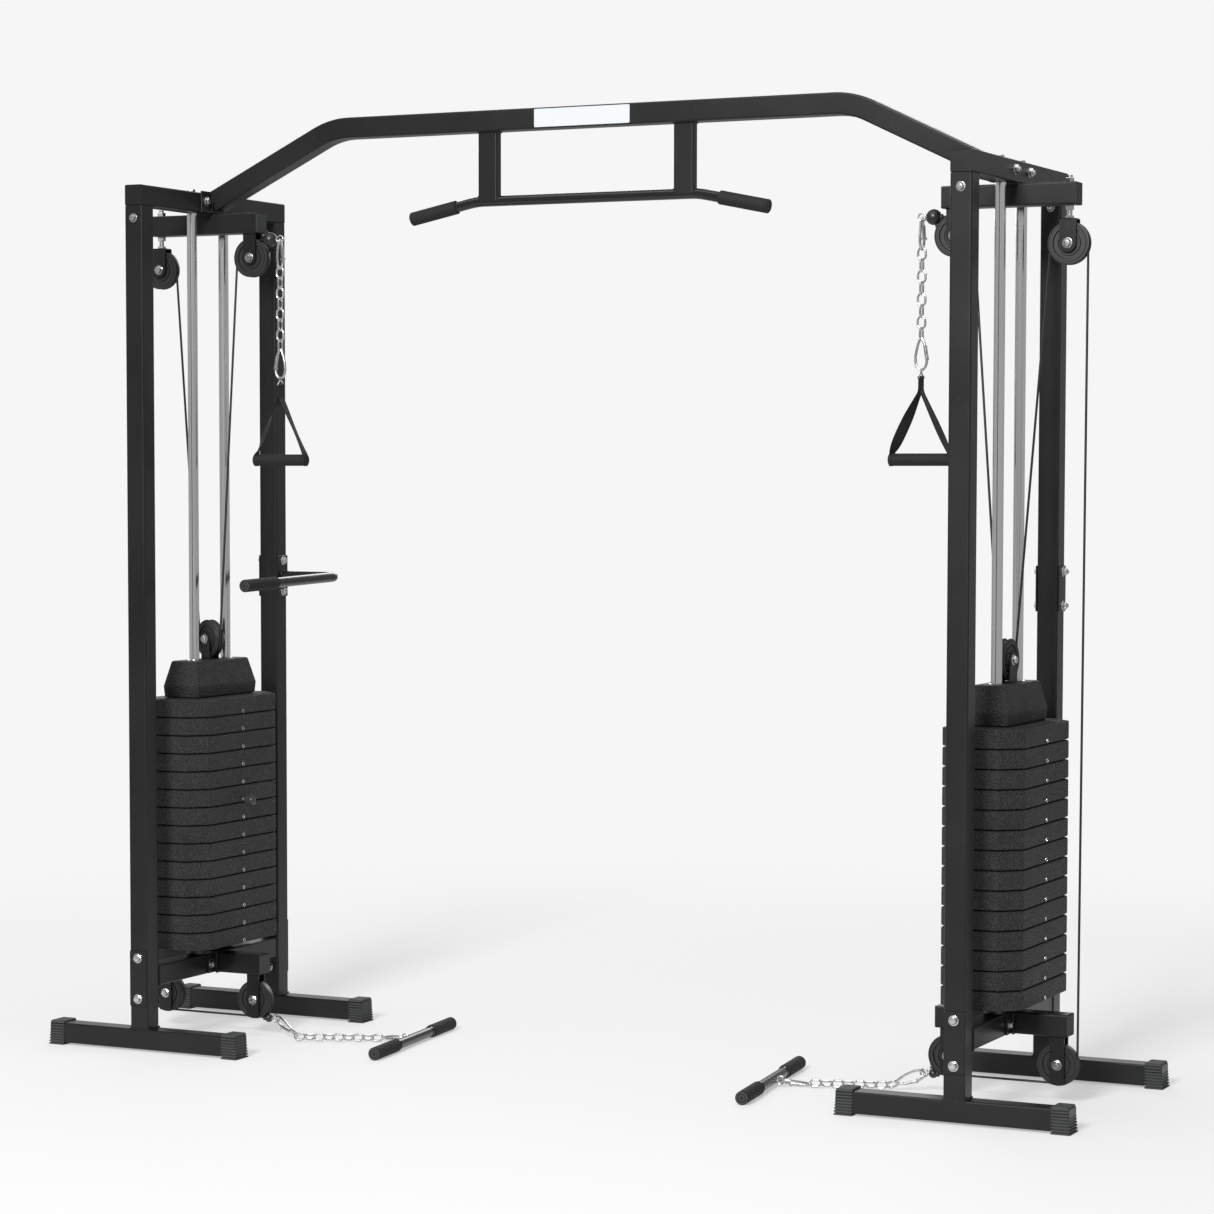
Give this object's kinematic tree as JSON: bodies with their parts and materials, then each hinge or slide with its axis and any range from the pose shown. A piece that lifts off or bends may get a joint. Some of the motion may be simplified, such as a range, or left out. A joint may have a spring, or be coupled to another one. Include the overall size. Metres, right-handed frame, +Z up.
{
  "type": "cable crossover machine",
  "caption": "Two weight-stack cable towers joined by a bent crossbar with a pull-up bar, with upper strap handles, lower bars and a side support handle.",
  "frame": {"origin": "on the floor at the centre of the machine, midway between the two towers and midway between the front and rear feet", "axes": "+X to the right along the crossbar, +Y to the rear, +Z up"},
  "size_m": [2.686, 0.668, 2.277],
  "materials": {
    "frame_paint": "satin black powder coat with a fine orange peel",
    "bar_paint": "glossy black paint",
    "foot_rubber": "ribbed dark grey rubber",
    "rod_chrome": "polished",
    "plate_shell": "grained black shell",
    "zinc": "bright zinc plating",
    "wheel_plastic": "moulded dark grey plastic with concentric steps",
    "cable_sheath": "smooth black sheath",
    "stop_rubber": "smooth black",
    "webbing": "woven black webbing"
  },
  "bodies": {
    "frame": {"left_front_leg": "frame_paint", "left_rear_leg": "frame_paint", "left_front_inner_foot_cap": "foot_rubber", "left_front_outer_foot_cap": "foot_rubber", "left_rear_inner_foot_cap": "foot_rubber", "left_rear_outer_foot_cap": "foot_rubber", "left_top_tube": "frame_paint", "left_pulley_beam": "frame_paint", "left_base_frame": "frame_paint", "left_front_guide_rod": "rod_chrome", "left_rear_guide_rod": "rod_chrome", "left_resting_plates": "plate_shell", "left_outer_yoke": "frame_paint", "left_stack_cable": "cable_sheath", "left_pull_cable": "cable_sheath", "right_front_leg": "frame_paint", "right_rear_leg": "frame_paint", "right_front_inner_foot_cap": "foot_rubber", "right_front_outer_foot_cap": "foot_rubber", "right_rear_inner_foot_cap": "foot_rubber", "right_rear_outer_foot_cap": "foot_rubber", "right_top_tube": "frame_paint", "right_pulley_beam": "frame_paint", "right_base_frame": "frame_paint", "right_front_guide_rod": "rod_chrome", "right_rear_guide_rod": "rod_chrome", "right_resting_plates": "plate_shell", "right_outer_yoke": "frame_paint", "right_stack_cable": "cable_sheath", "right_pull_cable": "cable_sheath", "crossbar": "frame_paint", "balance_handle": "bar_paint"},
    "left_stack": {"left_lifted_plates": "plate_shell", "left_top_weight": "plate_shell"},
    "left_selector_pin": {"left_selector_pin": "wheel_plastic"},
    "left_stack_wheel": {"left_stack_wheel": "wheel_plastic"},
    "left_outer_top_wheel": {"left_outer_top_wheel": "wheel_plastic"},
    "left_inner_top_wheel": {"left_inner_top_wheel": "wheel_plastic"},
    "left_outer_bottom_wheel": {"left_outer_bottom_wheel": "wheel_plastic"},
    "left_inner_bottom_wheel": {"left_inner_bottom_wheel": "wheel_plastic"},
    "left_upper_ball": {"left_upper_ball": "stop_rubber"},
    "left_upper_chain": {"left_upper_chain": "zinc"},
    "left_strap_handle": {"left_strap_handle": "webbing"},
    "left_lower_ball": {"left_lower_ball": "stop_rubber"},
    "left_lower_chain": {"left_lower_chain": "zinc"},
    "left_lower_bar": {"left_lower_bar": "bar_paint"},
    "right_stack": {"right_lifted_plates": "plate_shell", "right_top_weight": "plate_shell"},
    "right_selector_pin": {"right_selector_pin": "wheel_plastic"},
    "right_stack_wheel": {"right_stack_wheel": "wheel_plastic"},
    "right_outer_top_wheel": {"right_outer_top_wheel": "wheel_plastic"},
    "right_inner_top_wheel": {"right_inner_top_wheel": "wheel_plastic"},
    "right_outer_bottom_wheel": {"right_outer_bottom_wheel": "wheel_plastic"},
    "right_inner_bottom_wheel": {"right_inner_bottom_wheel": "wheel_plastic"},
    "right_upper_ball": {"right_upper_ball": "stop_rubber"},
    "right_upper_chain": {"right_upper_chain": "zinc"},
    "right_strap_handle": {"right_strap_handle": "webbing"},
    "right_lower_ball": {"right_lower_ball": "stop_rubber"},
    "right_lower_chain": {"right_lower_chain": "zinc"},
    "right_lower_bar": {"right_lower_bar": "bar_paint"}
  },
  "joints": [
    {"name": "left_stack_lift", "type": "slide", "parent": "frame", "child": "left_stack", "axis": [0, 0, 1], "range_m": [0, 0.6], "deforming": ["left_stack_cable"]},
    {"name": "left_pin_pull", "type": "slide", "parent": "left_stack", "child": "left_selector_pin", "axis": [1, 0, 0], "range_m": [0, 0.11]},
    {"name": "left_stack_wheel_spin", "type": "hinge", "parent": "left_stack", "child": "left_stack_wheel", "pos_m": [-1.053, 0, 0.997], "axis": [0.3746, 0.9272, 0], "continuous": true},
    {"name": "left_inner_top_wheel_spin", "type": "hinge", "parent": "frame", "child": "left_inner_top_wheel", "pos_m": [-0.923, 0, 1.946], "axis": [0, 1, 0], "continuous": true},
    {"name": "left_outer_top_wheel_spin", "type": "hinge", "parent": "frame", "child": "left_outer_top_wheel", "pos_m": [-1.189, 0, 1.922], "axis": [0, 1, 0], "continuous": true},
    {"name": "left_outer_bottom_wheel_spin", "type": "hinge", "parent": "frame", "child": "left_outer_bottom_wheel", "pos_m": [-1.183, 0, 0.092], "axis": [0, 1, 0], "continuous": true},
    {"name": "left_inner_bottom_wheel_spin", "type": "hinge", "parent": "frame", "child": "left_inner_bottom_wheel", "pos_m": [-0.923, 0, 0.092], "axis": [0, 1, 0], "continuous": true},
    {"name": "left_upper_pull", "type": "slide", "parent": "frame", "child": "left_upper_ball", "axis": [0.2419, 0, -0.9703], "range_m": [0, 1.2]},
    {"name": "left_upper_chain_swing", "type": "hinge", "parent": "left_upper_ball", "child": "left_upper_chain", "pos_m": [-0.843, 0, 1.9893], "axis": [0, -1, 0], "range_deg": [-2, 80]},
    {"name": "left_strap_handle_swing", "type": "hinge", "parent": "left_upper_chain", "child": "left_strap_handle", "pos_m": [-0.843, 0, 1.647], "axis": [0, -1, 0], "range_deg": [-8, 60]},
    {"name": "left_lower_pull", "type": "slide", "parent": "frame", "child": "left_lower_ball", "axis": [0.2588, 0, 0.9659], "range_m": [0, 1.2]},
    {"name": "left_lower_chain_swing", "type": "hinge", "parent": "left_lower_ball", "child": "left_lower_chain", "pos_m": [-0.863, 0, 0.047], "axis": [0, -1, 0], "range_deg": [0, 80]},
    {"name": "left_lower_bar_swing", "type": "hinge", "parent": "left_lower_chain", "child": "left_lower_bar", "pos_m": [-0.522, 0.052, 0.015], "axis": [0, -1, 0], "range_deg": [0, 80]},
    {"name": "right_stack_lift", "type": "slide", "parent": "frame", "child": "right_stack", "axis": [0, 0, 1], "range_m": [0, 0.6], "deforming": ["right_stack_cable"]},
    {"name": "right_pin_pull", "type": "slide", "parent": "right_stack", "child": "right_selector_pin", "axis": [-1, 0, 0], "range_m": [0, 0.11]},
    {"name": "right_stack_wheel_spin", "type": "hinge", "parent": "right_stack", "child": "right_stack_wheel", "pos_m": [1.053, 0, 0.997], "axis": [-0.9962, 0.0872, 0], "continuous": true},
    {"name": "right_inner_top_wheel_spin", "type": "hinge", "parent": "frame", "child": "right_inner_top_wheel", "pos_m": [0.923, 0, 1.946], "axis": [0, 1, 0], "continuous": true},
    {"name": "right_outer_top_wheel_spin", "type": "hinge", "parent": "frame", "child": "right_outer_top_wheel", "pos_m": [1.189, 0, 1.922], "axis": [0, 1, 0], "continuous": true},
    {"name": "right_outer_bottom_wheel_spin", "type": "hinge", "parent": "frame", "child": "right_outer_bottom_wheel", "pos_m": [1.183, 0, 0.092], "axis": [0, 1, 0], "continuous": true},
    {"name": "right_inner_bottom_wheel_spin", "type": "hinge", "parent": "frame", "child": "right_inner_bottom_wheel", "pos_m": [0.923, 0, 0.092], "axis": [0, 1, 0], "continuous": true},
    {"name": "right_upper_pull", "type": "slide", "parent": "frame", "child": "right_upper_ball", "axis": [-0.2419, 0, -0.9703], "range_m": [0, 1.2]},
    {"name": "right_upper_chain_swing", "type": "hinge", "parent": "right_upper_ball", "child": "right_upper_chain", "pos_m": [0.843, 0, 1.9893], "axis": [0, 1, 0], "range_deg": [-2, 80]},
    {"name": "right_strap_handle_swing", "type": "hinge", "parent": "right_upper_chain", "child": "right_strap_handle", "pos_m": [0.843, 0, 1.647], "axis": [0, 1, 0], "range_deg": [-8, 60]},
    {"name": "right_lower_pull", "type": "slide", "parent": "frame", "child": "right_lower_ball", "axis": [-0.2588, 0, 0.9659], "range_m": [0, 1.2]},
    {"name": "right_lower_chain_swing", "type": "hinge", "parent": "right_lower_ball", "child": "right_lower_chain", "pos_m": [0.863, 0, 0.047], "axis": [0, 1, 0], "range_deg": [0, 80]},
    {"name": "right_lower_bar_swing", "type": "hinge", "parent": "right_lower_chain", "child": "right_lower_bar", "pos_m": [0.54, -0.077, 0.015], "axis": [0, 1, 0], "range_deg": [0, 80]}
  ],
  "couplings": [
    {"joint": "left_upper_pull", "follows": "left_stack_lift", "ratio": 2},
    {"joint": "left_inner_top_wheel_spin", "follows": "left_stack_lift", "rad_per_m": 46.189},
    {"joint": "left_stack_wheel_spin", "follows": "left_stack_lift", "rad_per_m": -23.095},
    {"joint": "left_inner_bottom_wheel_spin", "follows": "left_lower_pull", "rad_per_m": -23.095},
    {"joint": "left_outer_bottom_wheel_spin", "follows": "left_lower_pull", "rad_per_m": -23.095},
    {"joint": "left_outer_top_wheel_spin", "follows": "left_lower_pull", "rad_per_m": -23.095},
    {"joint": "right_upper_pull", "follows": "right_stack_lift", "ratio": 2},
    {"joint": "right_inner_top_wheel_spin", "follows": "right_stack_lift", "rad_per_m": -46.189},
    {"joint": "right_stack_wheel_spin", "follows": "right_stack_lift", "rad_per_m": 23.095},
    {"joint": "right_inner_bottom_wheel_spin", "follows": "right_lower_pull", "rad_per_m": 23.095},
    {"joint": "right_outer_bottom_wheel_spin", "follows": "right_lower_pull", "rad_per_m": 23.095},
    {"joint": "right_outer_top_wheel_spin", "follows": "right_lower_pull", "rad_per_m": 23.095}
  ]
}
